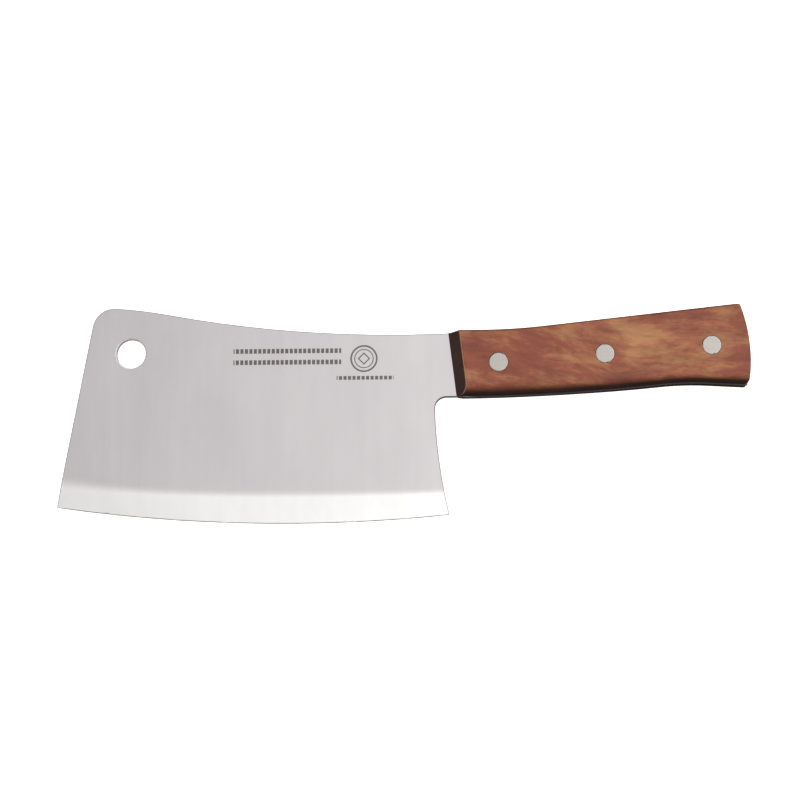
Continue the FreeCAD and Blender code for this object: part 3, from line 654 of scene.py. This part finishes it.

# Where the surface turns away from the flat, the colour goes dark: painted shade on the rounded
# edges and the sloping front, where the cut end grain also holds more oil. The broken ridge at the
# front, which faces between the flat and the slope, gets a pale painted highlight.
facing = add_node(tree, "ShaderNodeSeparateXYZ", links={0: place.outputs["Normal"]})
flat = add_node(tree, "ShaderNodeMath", {"operation": "ABSOLUTE"}, links={0: facing.outputs["Z"]})
# Painted shade: off the flat the colour mixes toward dark brown, partly real oil in the end grain.
oil_and_painted_shade = add_node(tree, "ShaderNodeMapRange", {"interpolation_type": "SMOOTHSTEP"},
                  {"From Min": 0.99, "From Max": 0.45, "To Min": 0.0, "To Max": 0.93},
                  {"Value": flat.outputs[0]})
oiled = add_node(tree, "ShaderNodeMix", {"data_type": "RGBA"}, {"B": linear("#35211a")},
                 {"A": figured.outputs[0], "Factor": oil_and_painted_shade.outputs[0]})
# Painted highlight: faces tilted partway toward the sloping front mix toward pale tan along the ridge.
past_flat = add_node(tree, "ShaderNodeMapRange", {"interpolation_type": "SMOOTHSTEP"},
                     {"From Min": -0.15, "From Max": -0.35, "To Min": 0.0, "To Max": 0.85},
                     {"Value": facing.outputs["X"]})
before_slope = add_node(tree, "ShaderNodeMapRange", {"interpolation_type": "SMOOTHSTEP"},
                        {"From Min": -0.70, "From Max": -0.82, "To Min": 1.0, "To Max": 0.0},
                        {"Value": facing.outputs["X"]})
ridge_painted_highlight = add_node(tree, "ShaderNodeMath", {"operation": "MULTIPLY"},
                  links={0: past_flat.outputs[0], 1: before_slope.outputs[0]})
colour = add_node(tree, "ShaderNodeMix", {"data_type": "RGBA"}, {"B": linear("#c89a78")},
                  {"A": oiled.outputs["Result"], "Factor": ridge_painted_highlight.outputs[0]})
relief = add_node(tree, "ShaderNodeBump", values={"Strength": 0.3, "Distance": 0.02 * MM},
                  links={"Height": fibres.outputs["Fac"]})
shader = add_node(tree, "ShaderNodeBsdfPrincipled", values={"Roughness": 0.5, "IOR": 1.45},
                  links={"Base Color": colour.outputs["Result"], "Normal": relief.outputs[0]})
tree.links.new(shader.outputs[0], output.inputs["Surface"])
finish_piece(right_scale, 25, wood, "right_scale")
bpy.ops.object.select_all(action="DESELECT")
left_scale.select_set(True)
bpy.context.view_layer.objects.active = left_scale
finish_piece(left_scale, 25, wood, "left_scale")

# ---------------------------------------------------------------- rivets
# Three two-piece cutlers' rivets of aluminium: a tube with a head, and a pin with a head pressed
# into it. The heads are sanded flush with the wood, and a buffing wheel eases their rims.

RIM_EASING = 0.3 * MM
SCRATCH = 0.286 * MM
SCRATCH_STRETCH = 0.03

# Aluminium, sanded along the handle with fine paper. It looks pale and slightly warm, and its
# fine scratches spread the light of the tent. They are drawn coarser than real so that they show.
rivet_metal, tree, output = new_material("aluminium, sanded flush")
place = add_node(tree, "ShaderNodeTexCoord")
sanding_way = add_node(tree, "ShaderNodeMapping", values={"Scale": (SCRATCH_STRETCH, 1.0, 1.0)},
                       links={"Vector": place.outputs["Object"]})
scratches = add_node(tree, "ShaderNodeTexNoise", values={"Scale": 1 / SCRATCH, "Detail": 2.0},
                     links={"Vector": sanding_way.outputs[0]})
rough = add_node(tree, "ShaderNodeMapRange",
                 values={"From Min": 0.3, "From Max": 0.7, "To Min": 0.26, "To Max": 0.4},
                 links={"Value": scratches.outputs["Fac"]})
relief = add_node(tree, "ShaderNodeBump", values={"Strength": 0.3, "Distance": 0.004 * MM},
                  links={"Height": scratches.outputs["Fac"]})
shader = add_node(tree, "ShaderNodeBsdfPrincipled",
                  values={"Metallic": 1.0, "Base Color": linear("#aaa59f")},
                  links={"Roughness": rough.outputs[0], "Normal": relief.outputs[0]})
tree.links.new(shader.outputs[0], output.inputs["Surface"])
for name in ("front", "middle", "rear"):
    for half, face_z in (("female", scale_high.z), ("male", low.z)):
        piece = copy_of(f"{name}_rivet_{half}", f"{name}_rivet_{half}_buffed")
        choose("EDGE", lambda edge: is_rim(edge) and abs(centre_of(edge).z - face_z) < HAIR)
        bpy.ops.mesh.bevel(offset=RIM_EASING, segments=3, affect="EDGES")
        finish_piece(piece, 40, rivet_metal, f"{name}_rivet_{half}")
